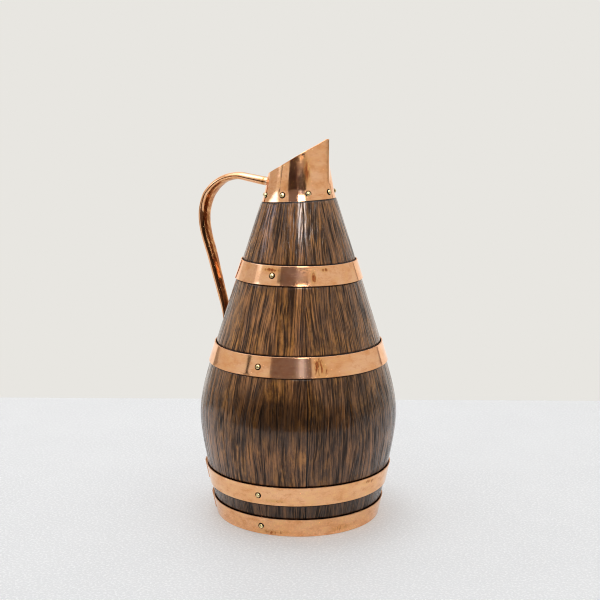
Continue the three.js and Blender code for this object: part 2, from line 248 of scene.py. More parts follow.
class Shader:
    """A node tree with short calls for the nodes that the materials share."""

    def __init__(self, name):
        self.material = bpy.data.materials.new(name)
        self.material.use_nodes = True
        self.tree = self.material.node_tree
        self.tree.nodes.clear()
        self.surface = self.add("ShaderNodeBsdfPrincipled")
        output = self.add("ShaderNodeOutputMaterial")
        self.link(self.surface.outputs[0], output.inputs["Surface"])

    def add(self, kind, **settings):
        node = self.tree.nodes.new(kind)
        for key, value in settings.items():
            setattr(node, key, value)
        return node

    def link(self, source, target):
        self.tree.links.new(source, target)

    def feed(self, target, value):
        if isinstance(value, bpy.types.NodeSocket):
            self.link(value, target)
        else:
            target.default_value = value

    def mark(self, name):
        return self.add("ShaderNodeAttribute", attribute_name=name)

    def split(self, vector):
        node = self.add("ShaderNodeSeparateXYZ")
        self.link(vector, node.inputs[0])
        return node.outputs

    def join(self, x, y, z):
        node = self.add("ShaderNodeCombineXYZ")
        for socket, value in zip(node.inputs, (x, y, z)):
            self.feed(socket, value)
        return node.outputs[0]

    def math(self, operation, a, b=0.0, c=0.0):
        node = self.add("ShaderNodeMath", operation=operation)
        for socket, value in zip(node.inputs, (a, b, c)):
            self.feed(socket, value)
        return node.outputs[0]

    def stretch(self, vector, scale, shift=(0, 0, 0)):
        node = self.add("ShaderNodeVectorMath", operation="MULTIPLY_ADD")
        self.link(vector, node.inputs[0])
        node.inputs[1].default_value = scale
        node.inputs[2].default_value = shift
        return node.outputs[0]

    def noise(self, vector, detail, rough=0.55):
        node = self.add("ShaderNodeTexNoise", noise_dimensions="3D")
        self.link(vector, node.inputs["Vector"])
        node.inputs["Scale"].default_value = 1.0
        node.inputs["Detail"].default_value = detail
        node.inputs["Roughness"].default_value = rough
        return node.outputs["Fac"]

    def step(self, value, low, high, out_low=0.0, out_high=1.0):
        """Goes smoothly from out_low to out_high as the value goes from low to high."""
        node = self.add("ShaderNodeMapRange", interpolation_type="SMOOTHSTEP")
        self.feed(node.inputs["Value"], value)
        limits = {"From Min": low, "From Max": high, "To Min": out_low, "To Max": out_high}
        for key, number in limits.items():
            node.inputs[key].default_value = number
        return node.outputs[0]

    def mix(self, factor, a, b, blend="MIX"):
        node = self.add("ShaderNodeMix", data_type="RGBA", blend_type=blend)
        self.feed(node.inputs[0], factor)
        for socket, value in ((node.inputs[6], a), (node.inputs[7], b)):
            if isinstance(value, bpy.types.NodeSocket):
                self.link(value, socket)
            else:
                socket.default_value = (*value, 1)
        return node.outputs[2]

    def bump(self, height, strength, distance, base=None):
        node = self.add("ShaderNodeBump")
        node.inputs["Strength"].default_value = strength
        node.inputs["Distance"].default_value = distance
        self.link(height, node.inputs["Height"])
        if base is not None:
            self.link(base, node.inputs["Normal"])
        return node.outputs[0]

    def finish(self, color, roughness, normal, metallic=0.0, coat=0.0):
        s = self.surface.inputs
        self.feed(s["Base Color"], color)
        self.feed(s["Roughness"], roughness)
        self.feed(s["Normal"], normal)
        s["Metallic"].default_value = metallic
        s["IOR"].default_value = IOR
        self.feed(s["Coat Weight"], coat)
        s["Coat Roughness"].default_value = COAT_ROUGHNESS
        if coat != 0.0:
            self.feed(s["Coat Normal"], normal)
        return self.material


def oak_material(name, from_marks=True):
    """Waxed dark oak. The grain mark holds millimetres across, into and along the board."""
    m = Shader(name)
    if from_marks:
        board = m.mark("grain").outputs["Vector"]
    else:  # the bottom boards' grain runs along X
        place = m.add("ShaderNodeTexCoord").outputs["Object"]
        x, y, z = m.split(place)
        board = m.stretch(m.join(y, z, x), PER_METRE, (37, 0, 211))
    # The noises are stretched in cycles per millimetre. Sway bends the grain, band is its light and dark,
    # line and pore are the dark pores, gate is where the lines show, mottle and patch are blotches.
    sway = m.noise(m.stretch(board, (0.016, 0.016, 0.0075)), 2)
    across, depth, along = m.split(board)
    across = m.math("MULTIPLY_ADD", sway, 16.0, across)
    grain = m.join(across, depth, along)
    band = m.noise(m.stretch(grain, (0.30, 0.25, 0.009)), 5, 0.66)
    line = m.noise(m.stretch(grain, (0.36, 0.3, 0.010), (17, 3, 5)), 3, 0.5)
    gate = m.noise(m.stretch(grain, (0.20, 0.2, 0.028), (51, 7, 23)), 4, 0.62)
    pore = m.noise(m.stretch(grain, (1.0, 0.8, 0.022), (9, 27, 41)), 2, 0.55)
    mottle = m.noise(m.stretch(grain, (0.20, 0.2, 0.07), (5, 31, 11)), 5, 0.66)
    patch = m.noise(m.stretch(grain, (0.05, 0.05, 0.02), (3, 13, 29)), 3, 0.6)
    body = m.mix(m.step(band, 0.36, 0.66), OAK_BROWN, OAK_LIGHT)
    amber = m.mix(m.step(mottle, 0.35, 0.65), AMBER_DARK, AMBER_LIGHT)
    body = m.mix(m.step(patch, 0.42, 0.64, 0.1, 0.75), body, amber)
    shadow = m.step(mottle, 0.32, 0.64, 0.66, 1.22)
    body = m.mix(1.0, body, m.join(shadow, shadow, shadow), "MULTIPLY")
    thin = m.step(m.math("ABSOLUTE", m.math("SUBTRACT", line, 0.5)), 0.064, 0.026)
    thin = m.math("MULTIPLY", thin, m.step(gate, 0.38, 0.54, 0.15, 1.0))
    dark = m.math("MAXIMUM", thin, m.step(pore, 0.60, 0.66, 0.0, 0.85))
    dark = m.math("MAXIMUM", dark, m.step(band, 0.39, 0.33, 0.0, 0.6))
    color = m.mix(m.math("MULTIPLY", dark, 0.88), body, PORE_BLACK)
    if from_marks:
        # The tone mark holds each stave's own darkness, painted shade by height, and dark wax with painted
        # shade beside the copper.
        tone, painted_shade, shade_and_grime = m.split(m.mark("tone").outputs["Vector"])
        painted_shade = m.math("MULTIPLY", painted_shade, m.step(tone, 0.0, 1.0, 1.15, 0.85))
        color = m.mix(1.0, color, m.join(painted_shade, painted_shade, painted_shade), "MULTIPLY")
        # Dark wax inside and at the joints, with painted shade beside the copper.
        color = m.mix(m.step(shade_and_grime, 0.0, 1.0, 0.0, 0.93), color, OLD_WAX_AND_SHADE)
    rough = m.math("MULTIPLY_ADD", dark, 0.16, m.step(patch, 0.3, 0.7, 0.26, 0.36))
    relief = m.math("SUBTRACT", m.math("MULTIPLY", mottle, 0.5), dark)
    normal = m.bump(relief, 0.8, 0.00028)
    m.surface.inputs["Specular IOR Level"].default_value = 0.06
    wax = m.math("MULTIPLY_ADD", dark, -0.6, 1.0)
    return m.finish(color, rough, normal, coat=wax)


def copper_material(name, rough_low, rough_high, dents):
    """Polished copper. The sheet mark holds millimetres round, up and through the sheet. The wear mark
    holds stain, solder and how patchy the tone is, and the edge mark is 1 on a cut edge or the back. Its
    stain also carries painted shade, round the rivet heads and on the handle's inner side."""
    m = Shader(name)
    sheet = m.mark("sheet").outputs["Vector"]
    stain_and_shade, solder, patchy = m.split(m.mark("wear").outputs["Vector"])
    edge = m.split(m.mark("edge").outputs["Vector"])[0]
    # Cloud is the tone, brushed the polishing lines, blot where stains break up, and haze the patches.
    cloud = m.noise(m.stretch(sheet, (0.035, 0.06, 0.06)), 4, 0.6)
    brushed = m.noise(m.stretch(sheet, (0.05, 1.6, 1.6), (3, 9, 1)), 4, 0.7)
    blot = m.noise(m.stretch(sheet, (0.36, 0.10, 0.3), (71, 13, 5)), 6, 0.72)
    haze = m.noise(m.stretch(sheet, (0.10, 0.17, 0.15), (7, 43, 3)), 6, 0.72)
    color = m.mix(m.step(cloud, 0.32, 0.68), COPPER_PALE, COPPER_DEEP)
    color = m.mix(m.step(brushed, 0.35, 0.8, 0.0, 0.25), color, COPPER_BRUSHED)
    veil = m.math("MULTIPLY", m.step(haze, 0.50, 0.64), m.math("MULTIPLY", patchy, 0.78))
    color = m.mix(veil, color, COPPER_VEIL)
    bright = m.math("MULTIPLY", m.step(haze, 0.50, 0.38), m.math("MULTIPLY", patchy, 0.6))
    color = m.mix(bright, color, COPPER_BRIGHT)
    color = m.mix(m.step(patchy, 0.5, 0.9, 0.0, 0.35), color, COPPER_WARM)
    color = m.mix(m.step(stain_and_shade, 0.1, 0.55, 0.0, 0.62), color, TARNISH_YELLOW)
    brown = m.step(m.math("MULTIPLY_ADD", stain_and_shade, 0.70, blot), 0.76, 0.92)
    brown = m.math("MULTIPLY", brown, m.step(stain_and_shade, 0.04, 0.2))
    color = m.mix(brown, color, TARNISH_BROWN)
    # The darkest: painted shadow and dirt round rivet heads, and the dark ring at the handle's joint.
    color = m.mix(m.step(stain_and_shade, 0.95, 1.25), color, COPPER_RING_DIRT_AND_SHADE)
    color = m.mix(m.math("MULTIPLY", edge, 0.6), color, COPPER_EDGE)
    tinned = m.step(m.math("MULTIPLY_ADD", blot, 0.7, solder), 0.85, 1.05)
    color = m.mix(tinned, color, SOLDER)
    rough = m.step(cloud, 0.3, 0.7, rough_low, rough_high)
    worn = m.math("MAXIMUM", m.math("MAXIMUM", brown, tinned), m.math("MULTIPLY", edge, 3.5))
    rough = m.math("MULTIPLY_ADD", worn, 0.10, rough)
    rough = m.math("MULTIPLY_ADD", brushed, 0.03, rough)
    dent = m.noise(m.stretch(sheet, (0.045, 0.055, 0.05), (19, 2, 8)), 2, 0.5)
    normal = m.bump(dent, dents, 0.0012)
    normal = m.bump(brushed, 0.012, 0.0001, normal)
    return m.finish(color, rough, normal, metallic=1.0)


def brass_material():
    """Brass pin heads, with dirt and painted shadow round them and painted shade on the heads' lower edge,
    where the wear mark says.
    """
    m = Shader("brass")
    place = m.stretch(m.add("ShaderNodeTexCoord").outputs["Object"], PER_METRE)
    cloud = m.noise(m.stretch(place, (0.5, 0.5, 0.5)), 4, 0.6)
    ring = m.split(m.mark("wear").outputs["Vector"])[0]
    color = m.mix(m.step(cloud, 0.35, 0.7), BRASS_PALE, BRASS_DEEP)
    color = m.mix(m.step(ring, 0.1, 1.5), color, BRASS_RING_DIRT_AND_SHADE)
    rough = m.step(cloud, 0.3, 0.7, 0.10, 0.20)
    rough = m.math("MULTIPLY_ADD", m.step(ring, 0.2, 1.6), 0.3, rough)
    normal = m.bump(cloud, 0.35, 0.0004)
    return m.finish(color, rough, normal, metallic=1.0)


OAK = oak_material("waxed_oak")
BOARD_OAK = oak_material("waxed_oak_boards", from_marks=False)
# A copper's name, its roughness from and to, and how deep its dents are.
HOOP_COPPER = copper_material("hoop_copper", 0.07, 0.12, 0.03)
COLLAR_COPPER = copper_material("collar_copper", 0.05, 0.13, 0.16)
HANDLE_COPPER = copper_material("handle_copper", 0.06, 0.15, 0.07)
BRASS = brass_material()

# ---- staves -----------------------------------------------------------------------------------

EASE = [(0.0, 0.30), (0.12, 0.13), (0.32, 0.04), (0.8, 0.0)]  # distance in from the joint, and drop
STAVE_FILL = 9  # columns between the eased edges
OUTER_ROWS, BORE_ROWS = 78, 30
TIGHT = 0.04  # the joints are driven up close
OPEN_JOINT, OPEN_GAP = 0, 0.34  # one joint has opened a little
CROWN = 0.12  # a stave's middle stands this far out or in at most
TOP_EASE = 0.8
EDGE_ROWS = (0.2, 0.7, 1.2, 1.7, 2.3)  # rows of points off a hoop's edge
STEP_ROWS = (2.4, 1.6, 1.0, 0.6)  # and below the collar's
HOLLOW = 0.6  # how far the wood is hollowed right beside the copper
SHADE_AND_GRIME_REACH = 1.9  # how far the dark wax and painted shade reach beside the copper
FAINT_DIRT = 0.3  # inside the jug and at a tight joint
JOINT_EDGE = 0.35  # how far in from a joint its dirt shows

# Painted shade: how light the wood's colour is kept, by height and share; darker towards the foot and low
# on the belly.
PAINTED_SHADE = [
    (0, 0.20), (34, 0.34), (62, 0.65), (84, 0.86), (106, 0.60), (126, 0.56),
    (150, 0.90), (182, 1.0), (340, 1.0),
]
# A darker patch on the belly, partly dark wood and partly painted shade: its angle, half width, height,
# half height and depth.
PATCH = (math.radians(-70), math.radians(24), 120, 22, 0.6)


def painted_shade_at(z, angle):
    """Painted shade in the wood's colour: darkest near the foot, and in a patch on the belly that is
    partly dark wood.
    """
    middle, wide, height, tall, depth = PATCH
    turn = math.remainder(angle - middle, 2 * math.pi) / wide
    patch = 1 - depth * math.exp(-(turn * turn + ((z - height) / tall) ** 2))
    for (z0, a), (z1, b) in zip(PAINTED_SHADE, PAINTED_SHADE[1:]):
        if z <= z1:
            return patch * lerp(a, b, smooth((z - z0) / (z1 - z0)))
    return patch * PAINTED_SHADE[-1][1]


def shade_and_grime_at(z, angle):
    """1 under and right beside a hoop or the collar, falling to 0 a little way off: painted shade and dark
    wax there, and a hollow in the wood.
    """
    off = collar_low(angle) - z
    for name, (low, high, *_) in HOOPS.items():
        level = z - hoop_lean(name, angle)
        off = min(off, max(low - level, level - high))
    return 1 - smooth((off - 0.3) / SHADE_AND_GRIME_REACH)


def stave_profile(angle):
    """Points of a stave's section as radius, height and 1 for the outside."""
    step = collar_low(angle) - GAP
    # Up the outside from the foot's chamfer, with more rows beside each hoop and the collar.
    points = [(wood_radius(0) - 1.1, 0, 1), (wood_radius(0) - 0.35, 0.25, 1), (wood_radius(1), 1.0, 1)]
    heights = [lerp(2.4, step - 3.4, k / (OUTER_ROWS - 1)) for k in range(OUTER_ROWS)]
    heights += [step - f for f in STEP_ROWS]
    for name, (low, high, *_) in HOOPS.items():
        rise = hoop_lean(name, angle)
        if low > 1:
            heights += [low + rise - f for f in EDGE_ROWS]
        heights += [high + rise + f for f in EDGE_ROWS]
    for z in sorted(heights):
        points.append((wood_radius(z) - HOLLOW * shade_and_grime_at(z, angle) ** 2, z, 1))
    # In under the collar, over the eased top edge, and down the inside past the bottom's groove.
    eased = STAVE_TOP - TOP_EASE
    points += [(wood_radius(step) - 0.3, step, 1), (under_collar(step), step, 0)]
    points += [(under_collar(eased), eased, 0), (under_collar(STAVE_TOP) - 0.7, STAVE_TOP, 0)]
    points += [(bore_radius(STAVE_TOP) + 0.7, STAVE_TOP, 0), (bore_radius(eased), eased, 0)]
    for k in range(BORE_ROWS):
        z = lerp(STAVE_TOP - 8, 26, k / (BORE_ROWS - 1))
        points.append((bore_radius(z), z, 0))
    low, high, deep = BOTTOM_GROOVE
    points += [(bore_radius(high), high, 0), (deep, high, 0), (deep, low, 0), (bore_radius(low), low, 0)]
    points += [(bore_radius(1), 1, 0), (bore_radius(0) + 0.9, 0, 0)]
    return points


def open_dirt(z):
    """How dark the open joint has become, most of all low on the belly."""
    return lerp(1.0, 0.45, smooth((z - 100) / 40))


def stave(index, dice):
    start = JOINT + index * STAVE_SWEEP
    end = start + STAVE_SWEEP
    middle = start + STAVE_SWEEP / 2
    columns = [("low", s, drop) for s, drop in EASE]
    columns += [("mid", k / (STAVE_FILL + 1), 0) for k in range(1, STAVE_FILL + 1)]
    columns += [("high", s, drop) for s, drop in reversed(EASE)]
    crown = dice.uniform(-CROWN, CROWN)
    # Each stave is cut from another place in the same wood.
    shift = (dice.uniform(0, 900), dice.uniform(0, 40), dice.uniform(0, 3000))
    darkness = dice.random()
    gaps = {
        "low": OPEN_GAP if index == OPEN_JOINT else TIGHT,
        "high": OPEN_GAP if (index + 1) % STAVES == OPEN_JOINT else TIGHT,
    }
    points, grain, tone = [], [], []
    for kind, value, drop in columns:
        section_angle = {"low": start, "high": end}.get(kind, lerp(start, end, value))
        for radius, z, outside in stave_profile(section_angle):
            bulge = 0
            if kind == "mid":
                edge = math.asin((TIGHT / 2 + EASE[-1][0]) / radius)
                angle = lerp(start + edge, end - edge, value)
                off = (angle - middle) / STAVE_SWEEP * 2
                bulge = outside * crown * (1 - off * off)
            else:
                edge = math.asin((gaps[kind] / 2 + value) / radius)
                angle = start + edge if kind == "low" else end - edge
            r = radius - outside * drop + bulge
            points.append(at(r, angle, z))
            place = ((angle - middle) * radius, r - wood_radius(z), z)
            grain.append([a + b for a, b in zip(place, shift)])
            # Beside the copper, painted shade and dark wax; faint dirt inside and at a tight joint, more
            # in the open one.
            dirt_and_shade = shade_and_grime_at(z, angle) if outside else FAINT_DIRT
            if kind != "mid" and value < JOINT_EDGE:
                dirt_and_shade = max(dirt_and_shade, open_dirt(z) if gaps[kind] == OPEN_GAP else FAINT_DIRT)
            tone.append((darkness, painted_shade_at(z, angle), dirt_and_shade))
    faces = tube_faces(len(columns), len(points) // len(columns))
    name = f"stave_{index + 1:02d}"
    build("oak_" + name, points, faces, name, OAK, {"grain": grain, "tone": tone}, sharp=32)


stave_dice = random.Random(11)
for index in range(STAVES):
    stave(index, stave_dice)

for index in range(BOTTOM_BOARDS):
    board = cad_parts[f"bottom_board_{index + 1:02d}"]
    board.data.materials.clear()
    board.data.materials.append(BOARD_OAK)

# ---- hoops ------------------------------------------------------------------------------------

# Brown stains: angle in degrees, height, half width round the hoop, half height, strength.
STAINS = {
    "hoop_shoulder": [(-46.5, 169, 9, 13, 0.56)],
    "hoop_neck": [(-87, 257.5, 12, 2.2, 0.62), (-47, 251, 3.5, 8, 0.6), (-36, 258, 6, 2.4, 0.6)],
    "hoop_bilge": [(-74, 38, 14, 3.0, 0.45), (-12, 50, 12, 2.5, 0.5), (60, 42, 10, 6, 0.5)],
    "hoop_foot": [(-78, 4, 26, 4.0, 0.45), (-30, 6, 20, 4, 0.4), (140, 9, 14, 6, 0.5)],
    "collar": [(-47, 350, 4.6, 17, 0.66), (-60, 364, 10, 6, 0.42), (60, 335, 4, 8, 0.6)],
}
HOOP_EDGE = 0.22  # how far the strip's corners are rounded
HOOP_ROWS = 16
HOOP_FLARE, FLARE_HEIGHT = 0.11, 3.8  # how far and how high a hoop's lower edge turns out
STEPS_PER_FACET = 8
HOOP_RIPPLE, COLLAR_RIPPLE = 0.10, 0.16
HOOP_PER_RADIAN, COLLAR_PER_RADIAN = 85, 34  # the sheet mark's millimetres for each radian round
LOWER_HOOPS = 60  # the hoops below this height are patchier


def stain_at(name, angle, z, radius):
    """How strong the brown stains are: the strongest one there counts."""
    total = 0.0
    for degrees, height, wide, tall, strength in STAINS.get(name, ()):
        turn = math.remainder(angle - math.radians(degrees), 2 * math.pi) * radius / wide
        total = max(total, strength * math.exp(-(turn * turn + ((z - height) / tall) ** 2)))
    return total


def hoop_section(low, high):
    """The strip's section as height and distance off the wood, round once."""
    inner, outer = GAP, GAP + STRIP
    section = []
    corner = [(0.0, 1.0), (0.3, 0.3), (1.0, 0.0)]
    for in_z, in_d in corner:
        section.append((low + HOOP_EDGE * in_z, outer - HOOP_EDGE * in_d))
    for k in range(HOOP_ROWS + 1):
        section.append((lerp(low + HOOP_EDGE + 0.2, high - HOOP_EDGE - 0.2, k / HOOP_ROWS), outer))
    for in_z, in_d in reversed(corner):
        section.append((high - HOOP_EDGE * in_z, outer - HOOP_EDGE * in_d))
    section += [(high, inner + 0.2), (high - 0.2, inner), (low + 0.2, inner), (low, inner + 0.2)]
    return [(z, d + HOOP_FLARE * max(0.0, 1 - (z - low) / FLARE_HEIGHT) ** 2) for z, d in section]


def hoop(name):
    """Makes a hoop and gives back the angle at which its lap starts."""
    low, high, _, lap, _, _ = HOOPS[name]
    start = JOINT + round((math.radians(lap) - JOINT) / FACET) * FACET
    section = hoop_section(low, high)
    steps = HOOP_FACETS * STEPS_PER_FACET
    points, sheet, wear, edge = [], [], [], []
    patchy = 0.9 if low < LOWER_HOOPS else 0.4
    face = GAP + STRIP - 0.05
    for k in range(steps + 1):
        turned = k * FACET / STEPS_PER_FACET
        angle = start + turned
        lift = (STRIP + GAP) * smooth((turned - LAP_FACET * FACET) / FACET + 0.25)
        rise = hoop_lean(name, angle)
        for level, d in section:
            z = level + rise
            ripple = HOOP_RIPPLE * noise.noise(Vector((turned * 2.6, z * 0.03, low)))
            radius = wood_radius(z) + d + lift + ripple
            points.append(at(radius, angle, z))
            sheet.append((turned * HOOP_PER_RADIAN + low * 9, z * 1.03, d))
            wear.append((stain_at(name, angle, z, radius), 0, patchy))
            edge.append((0.0 if d > face else 1.0, 0, 0))
    faces = tube_faces(steps + 1, len(section))
    marks = {"sheet": sheet, "wear": wear, "edge": edge}
    build("copper_" + name, points, faces, name, HOOP_COPPER, marks)
    return start


# ---- fasteners --------------------------------------------------------------------------------


RING = 0.85  # how far the dark line of dirt and shadow reaches round a head
RING_FADE = [1.3, 0.9, 0.45]  # painted shade and dirt on the head's first rows, which keep its bright middle small
DOME_ROWS = 8
DOME_SIDES = 28
PROUD = 0.05  # how far a head stands off the copper


def domed(node, slot, material, point, axis, shape, dice):
    """A round-headed pin or rivet, its head a little out of true from the hammer."""
    head, rise, shank, length = shape
    profile = [(shank * 0.75, -length), (shank, -length + 0.3), (shank, -0.06), (head + RING, -0.06)]
    profile += [(head + RING, 0.03), (head + 0.1, 0.06), (head * 0.97, 0.03)]
    ringed = len(profile)
    for k in range(DOME_ROWS):
        t = math.radians(8 + 82 * k / (DOME_ROWS - 1))
        radius = head * math.cos(t) ** 0.9 if k < DOME_ROWS - 1 else 0.06
        profile.append((radius, rise * math.sin(t)))
    lean = Quaternion((dice.uniform(-1, 1), dice.uniform(-1, 1), 0.01), math.radians(dice.uniform(1, 5)))
    turn = axis.to_track_quat("Z", "Y") @ lean
    points, seed = [], dice.uniform(0, 90)
    for radius, up in profile:
        for j in range(DOME_SIDES):
            a = 2 * math.pi * j / DOME_SIDES
            p = Vector((radius * math.cos(a), radius * math.sin(a), up))
            if up > 0.1:
                p *= 1 + 0.035 * noise.noise(p * 0.9 + Vector((seed, 0, 0)))
            points.append(point + turn @ p)
    # Painted shadow and dirt on the ring round the head, and painted shade on the head's first rows.
    fades = [2.0] * ringed + RING_FADE + [0.0] * (DOME_ROWS - len(RING_FADE))
    marks = {
        "sheet": [(p.x * 3, p.z * 3, p.y * 3) for p in points],
        "wear": [(fade, 0, 0.5) for fade in fades for _ in range(DOME_SIDES)],
    }
    build(f"{slot}_{node}", points, tube_faces(len(profile), DOME_SIDES), node, material, marks)


def site_on(z, angle, standoff):
    """A point that far off the wood, and the direction square to the wood there."""
    axis = outward(z, angle)
    return at(wood_radius(z), angle, z) + axis * standoff, axis


pin_dice = random.Random(5)
for name, (low, high, _, _, pin, pin_rise) in HOOPS.items():
    lap_angle = hoop(name) + FACET
    middle = (low + high) / 2
    for k, degrees in enumerate((pin, pin + 180)):
        angle = math.radians(degrees)
        point, axis = site_on(middle + pin_rise + hoop_lean(name, angle), angle, GAP + STRIP + PROUD)
        domed(f"{name}_pin_{k + 1:02d}", "brass", BRASS, point, axis, HOOP_PIN, pin_dice)
    for k, offset in enumerate(LAP_RIVET_OFFSETS):
        level = middle + offset + hoop_lean(name, lap_angle)
        point, axis = site_on(level, lap_angle, 2 * (GAP + STRIP) + PROUD)
        domed(f"{name}_rivet_{k + 1:02d}", "copper", HOOP_COPPER, point, axis, LAP_RIVET, pin_dice)

# ---- collar -----------------------------------------------------------------------------------

COLLAR_COLUMNS = 288
COLLAR_ROWS = 40


def collar():
    points, sheet, wear, edge = [], [], [], []
    rounding = (0.28, 0.62)  # points across the sheet's cut edges
    for j in range(COLLAR_COLUMNS):
        angle = 2 * math.pi * j / COLLAR_COLUMNS
        low, high = collar_low(angle), rim_height(angle)
        section = [(low + 0.2, 0.0)]
        section += [(lerp(low + 0.4, high - 0.5, k / COLLAR_ROWS), 0.0) for k in range(COLLAR_ROWS + 1)]
        section += [(high - 0.25, 0.0)]
        section += [(high - 0.02, share * SHEET) for share in rounding]
        section += [(lerp(high - 0.25, low + 0.2, k / COLLAR_ROWS), SHEET) for k in range(COLLAR_ROWS + 1)]
        section += [(low, share * SHEET) for share in reversed(rounding)]
        for z, through in section:
            place = Vector((math.cos(angle) * 1.7, math.sin(angle) * 1.7, z * 0.035))
            ripple = COLLAR_RIPPLE * noise.noise(place)
            radius = lip_outline(z, angle) * (1 - through / collar_radius(z)) + ripple
            points.append(at(radius, angle, z))
            sheet.append((angle * COLLAR_PER_RADIAN, z, through))
            wear.append((stain_at("collar", angle, z, LIP_RADIUS), 0, 0.45))
            edge.append((0.0 if low + 0.3 < z < high - 0.3 else 1.0, 0, 0))
    faces = grid_faces(COLLAR_COLUMNS, len(points) // COLLAR_COLUMNS, True, True)
    marks = {"sheet": sheet, "wear": wear, "edge": edge}
    build("copper_collar", points, faces, "spout_collar", COLLAR_COPPER, marks)


collar()
for k, degrees in enumerate(COLLAR_PIN_ANGLES):
    angle = math.radians(degrees)
    z = collar_low(angle) + COLLAR_PIN_RISE
    axis = Vector((math.cos(angle), math.sin(angle), COLLAR_PIN_TILT)).normalized()
    point = at(collar_radius(z), angle, z) + axis * PROUD
    domed(f"collar_pin_{k + 1:02d}", "brass", BRASS, point, axis, COLLAR_PIN, pin_dice)

# ---- handle -----------------------------------------------------------------------------------

HANDLE_RINGS = 170
HANDLE_SIDES = 40
HANDLE_START = 0.12  # in rows of HANDLE, just inside the collar
SEATED_RINGS = HANDLE_RINGS // 4  # only these may reach into the collar
BEAD, BEAD_REACH = 0.2, 0.9  # the brazed joint's thicker ring


def catmull(values, t):
    """A point on the uniform Catmull-Rom curve through rows of numbers, t counted in rows."""
    last = len(values) - 1
    k = min(int(t), last - 1)
    f = t - k
    p1, p2 = values[k], values[k + 1]
    p0 = values[k - 1] if k > 0 else [2 * a - b for a, b in zip(p1, p2)]
    p3 = values[k + 2] if k + 2 <= last else [2 * b - a for a, b in zip(p1, p2)]
    return [
        0.5 * (2 * b + (c - a) * f + (2 * a - 5 * b + 4 * c - d) * f * f + (3 * b - a - 3 * c + d) * f**3)
        for a, b, c, d in zip(p0, p1, p2, p3)
    ]


def bump_at(x, middle, reach):
    """1 at the middle, fading to 0 on both sides."""
    return math.exp(-(((x - middle) / reach) ** 2))


def handle():
    last = len(HANDLE) - 1
    rows = [catmull(HANDLE, lerp(HANDLE_START, last, k / HANDLE_RINGS)) for k in range(HANDLE_RINGS + 1)]
    centres = [Vector((AXIS_X - row[0], 0, row[1])) for row in rows]
    lengths = [0.0]
    for a, b in zip(centres, centres[1:]):
        lengths.append(lengths[-1] + (b - a).length)
    points, sheet, wear = [], [], []
    for k, (row, centre) in enumerate(zip(rows, centres)):
        along = (centres[min(k + 1, HANDLE_RINGS)] - centres[max(k - 1, 0)]).normalized()
        side = Vector((0, 1, 0))
        up = along.cross(side)
        thick, width, square = row[2:]
        left = lengths[-1] - lengths[k]
        if left < PALM_ROUND:
            width *= max(0.25, math.sqrt(max(1e-4, 1 - (1 - left / PALM_ROUND) ** 2)))
            thick *= lerp(0.7, 1, min(1, left / 1.5))
        upper = k < HANDLE_RINGS // 2
        from_collar = AXIS_X - centre.x - collar_radius(centre.z) if upper else 1e3
        bead = 1 + BEAD * math.exp(-max(0.0, from_collar) / BEAD_REACH)
        # A trace of solder beside the bead, and a dark ring at the joint with a fainter one a little way
        # along.
        solder = 0.62 * bump_at(from_collar, 3.4, 1.7)
        joint_dark = 1.6 * bump_at(from_collar, 0, 1.8) + 0.5 * bump_at(from_collar, 7, 2.5)
        for j in range(HANDLE_SIDES):
            a = 2 * math.pi * j / HANDLE_SIDES
            c, s = math.cos(a), math.sin(a)
            x = math.copysign(abs(c) ** (2 / square), c) * thick / 2 * bead
            y = math.copysign(abs(s) ** (2 / square), s) * width / 2 * bead
            point = centre + up * x + side * y
            seat = collar_radius(point.z) - SEAT_SLACK
            if math.hypot(point.x - AXIS_X, point.y) < seat and k < SEATED_RINGS:
                point.x = AXIS_X - math.sqrt(max(seat * seat - point.y**2, 0))
            points.append(point)
            sheet.append((a * width / 2, lengths[k], 0))
            # Painted shade in a tarnish colour on the handle's inner side, where it faces the jug, away
            # from the collar.
            inner = smooth((c - 0.1) / 0.6) * smooth((from_collar - 12) / 30)
            wear.append((max(joint_dark, 0.5 * inner), solder, 0.4))
    # Rings that were all pushed out to the collar's surface lie on one another: keep the last.
    inside = lambda centre: AXIS_X - centre.x < collar_radius(centre.z) - SEAT_SLACK
    seated = [k for k in range(SEATED_RINGS) if inside(centres[k])]
    cut = HANDLE_SIDES * (seated[-1] if seated else 0)
    faces = tube_faces((len(points) - cut) // HANDLE_SIDES, HANDLE_SIDES)
    marks = {"sheet": sheet[cut:], "wear": wear[cut:]}
    build("copper_handle", points[cut:], faces, "handle", HANDLE_COPPER, marks)


handle()
for k, z in enumerate(PALM_RIVET_HEIGHTS):
    point, axis = site_on(z, math.pi, GAP + STRIP + GAP + PALM + PROUD)
    domed(f"handle_rivet_{k + 1:02d}", "copper", HANDLE_COPPER, point, axis, PALM_RIVET, pin_dice)

# ---- camera -----------------------------------------------------------------------------------

HEADING = math.radians(30)
PITCH = math.radians(10.05)
ROLL = math.radians(0.32)
SENSOR, LENS = 36, 69.46
CAMERA_PLACE = (0.5851, -0.9954, 0.4228)

camera_data = bpy.data.cameras.new("camera")
camera_data.sensor_width = SENSOR
camera_data.lens = LENS
camera = bpy.data.objects.new("camera", camera_data)
forward = Vector(
    (-math.sin(HEADING) * math.cos(PITCH), math.cos(HEADING) * math.cos(PITCH), -math.sin(PITCH))
)
camera.rotation_mode = "QUATERNION"
camera.rotation_quaternion = forward.to_track_quat("-Z", "Y") @ Quaternion((0, 0, 1), ROLL)
camera.location = CAMERA_PLACE
bpy.context.scene.collection.objects.link(camera)
bpy.context.scene.camera = camera

# ---- floor, light and what the polish reflects ------------------------------------------------

TO_CAMERA = Vector((math.sin(HEADING), -math.cos(HEADING), 0))
TO_RIGHT = Vector((math.cos(HEADING), math.sin(HEADING), 0))
STAND = Vector((AXIS_X * MM, 0, 0))

